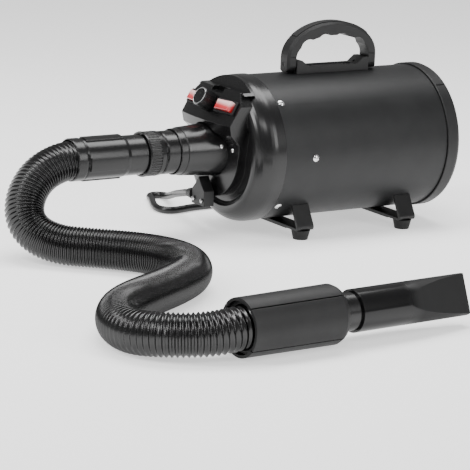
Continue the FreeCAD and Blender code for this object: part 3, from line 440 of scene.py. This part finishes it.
HOSE_R = 0.0215


def line_points(curve):
    """Points along a curve that has no bevel."""
    depsgraph = bpy.context.evaluated_depsgraph_get()
    mesh = bpy.data.meshes.new_from_object(curve.evaluated_get(depsgraph))
    points = [v.co.copy() for v in mesh.vertices]
    bpy.data.meshes.remove(mesh)
    return points


def walk(points, distances):
    """Points at those distances along a line."""
    reached = [0.0]
    for a, b in zip(points, points[1:]):
        reached.append(reached[-1] + (b - a).length)
    out = []
    leg = 0
    for want in distances:
        while leg < len(points) - 2 and reached[leg + 1] < want:
            leg += 1
        share = (want - reached[leg]) / (reached[leg + 1] - reached[leg])
        out.append(points[leg].lerp(points[leg + 1], min(share, 1.0)))
    return out


def loft(name, rings, closed, finish):
    """Smooth surface through rings of points: joined end to end, or with a flat face at each end."""
    mesh = bmesh.new()
    loops = [[mesh.verts.new(point) for point in ring] for ring in rings]
    pairs = list(zip(loops, loops[1:]))
    if closed:
        pairs.append((loops[-1], loops[0]))
    for near, far in pairs:
        count = len(near)
        for k in range(count):
            mesh.faces.new((near[k], near[(k + 1) % count], far[(k + 1) % count], far[k])).smooth = True
    if not closed:
        mesh.faces.new(loops[0][::-1])
        mesh.faces.new(loops[-1])
    bmesh.ops.recalc_face_normals(mesh, faces=mesh.faces)
    data = bpy.data.meshes.new(name)
    mesh.to_mesh(data)
    mesh.free()
    data.materials.append(finish)
    lofted = bpy.data.objects.new(name, data)
    bpy.context.scene.collection.objects.link(lofted)
    return lofted


def rib_pitch(share):
    """Spacing of the hose's ribs at that share of its length: finest in the middle."""
    stops = [(0.0, 0.0042), (0.22, 0.0040), (0.42, 0.0027), (0.50, 0.0022), (0.66, 0.0022), (0.78, 0.0046),
             (1.0, 0.0054)]
    for (a, pitch_a), (b, pitch_b) in zip(stops, stops[1:]):
        if share <= b:
            return pitch_a + (pitch_b - pitch_a) * (share - a) / (b - a)
    return stops[-1][1]


def rib_rows(total):
    """How far along each row of the hose's surface lies, and how far below the crests."""
    rows_per_rib = 9
    crest_sharpness = 0.7
    depth_share = 0.55
    deepest = 0.0023
    rows = []
    start = 0.0
    while start < total:
        pitch = rib_pitch(start / total)
        depth = min(depth_share * pitch, deepest)
        for row in range(rows_per_rib):
            share = row / rows_per_rib
            dip = 0.5 - 0.5 * math.cos(math.tau * share)
            rows.append((start + share * pitch, depth * dip ** crest_sharpness))
        start += pitch
    return [row for row in rows if row[0] <= total]


def make_hose():
    """The ribbed hose, the points its middle follows, and its length."""
    guide = spline_curve("hose_line", HOSE_ROUTE, 64)
    line = line_points(guide)
    bpy.data.objects.remove(guide)
    total = sum((b - a).length for a, b in zip(line, line[1:]))
    rows = rib_rows(total)
    centres = walk(line, [distance for distance, dip in rows])
    around = 64
    side = Vector((0, 1, 0))
    rings = []
    for i, centre in enumerate(centres):
        ahead = (centres[min(i + 2, len(centres) - 1)] - centres[max(i - 2, 0)]).normalized()
        side = (side - ahead * side.dot(ahead)).normalized()
        other = ahead.cross(side)
        radius = HOSE_R - rows[i][1]
        ring = []
        for k in range(around):
            angle = math.tau * k / around
            ring.append(centre + side * (radius * math.cos(angle)) + other * (radius * math.sin(angle)))
        rings.append(ring)
    path_points = 160
    path = walk(line, [total * i / path_points for i in range(path_points + 1)])
    return loft("ribbed_hose", rings, False, RIBBED), path, total


hose, hose_path, hose_length = make_hose()
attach(hose, "dryer")
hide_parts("hose")


# ---------------------------------------------------------------- knob trim
FACE_TILT = math.radians(30.0)
FACE_X = -0.0498       # where the knob's axis meets the control face, from the seam
FACE_Z = 0.0543        # and above the tube's axis
KNOB_END = 0.0180      # from the face to the knob's rim


def make_knob_rim():
    """Bright rounded rim round the end of the speed knob."""
    outward = Vector((-math.cos(FACE_TILT), 0, math.sin(FACE_TILT)))
    level = Vector((0, 1, 0))
    steep = outward.cross(level)
    centre = Vector((FACE_X + SEAM_X, 0, AXIS_Z + FACE_Z)) + KNOB_END * outward
    rim_r = 0.00968
    bead_r = 0.00042
    around = 96
    beads = 16
    rings = []
    for i in range(around):
        turned = math.tau * i / around
        spoke = level * math.cos(turned) + steep * math.sin(turned)
        ring = []
        for k in range(beads):
            angle = math.tau * k / beads
            reach = rim_r + bead_r * math.cos(angle)
            ring.append(centre + spoke * reach + outward * (bead_r * math.sin(angle)))
        rings.append(ring)
    rim = loft("knob_rim", rings, True, STEEL)
    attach(rim, "knob")


make_knob_rim()


# ---------------------------------------------------------------- floor and light
def make_floor():
    """Plain pale floor."""
    data = bpy.data.meshes.new("floor")
    half = 12.0
    corners = [(-half, -half, 0), (half, -half, 0), (half, half, 0), (-half, half, 0)]
    data.from_pydata(corners, [], [(0, 1, 2, 3)])
    floor = bpy.data.objects.new("floor", data)
    bpy.context.scene.collection.objects.link(floor)
    material, tree, shader = new_material("floor_pale")
    shades = [(0.3, (0.86, 0.86, 0.86)), (0.7, (0.88, 0.88, 0.88))]
    tree.links.new(ramp(tree, noise(tree, 3.0), shades), shader.inputs["Base Color"])
    shader.inputs["Roughness"].default_value = 0.85
    shader.inputs["Specular IOR Level"].default_value = 0.2
    shader.inputs["Emission Color"].default_value = (1, 1, 1, 1)
    shader.inputs["Emission Strength"].default_value = 0.80
    data.materials.append(material)


def area_light(name, spot, target, width, height, power):
    """Soft rectangular light at a spot, turned towards the target."""
    data = bpy.data.lights.new(name, "AREA")
    data.shape = "RECTANGLE"
    data.size = width
    data.size_y = height
    data.energy = power
    light = bpy.data.objects.new(name, data)
    bpy.context.scene.collection.objects.link(light)
    light.location = spot
    light.rotation_euler = (Vector(target) - Vector(spot)).to_track_quat("-Z", "Y").to_euler()


make_floor()
middle = Vector((0, -0.1, 0.1))
area_light("overhead", middle + Vector((0.1, 0.3, 1.5)), middle, 1.6, 0.8, 34)
area_light("key_left", middle - RIGHT * 1.4 + BACK * 0.9 + Vector((0, 0, 1.0)), middle, 0.5, 1.2, 26)
area_light("fill_right", middle + RIGHT * 1.6 + BACK * 1.2 + Vector((0, 0, 0.6)), middle, 0.35, 1.2, 14)
area_light("front_strip", middle + BACK * 1.8 + Vector((0, 0, 1.1)), middle, 1.2, 0.25, 10)
world = bpy.data.worlds.new("studio")
world.use_nodes = True
world.node_tree.nodes["Background"].inputs["Color"].default_value = (1, 1, 1, 1)
world.node_tree.nodes["Background"].inputs["Strength"].default_value = 0.30
bpy.context.scene.world = world
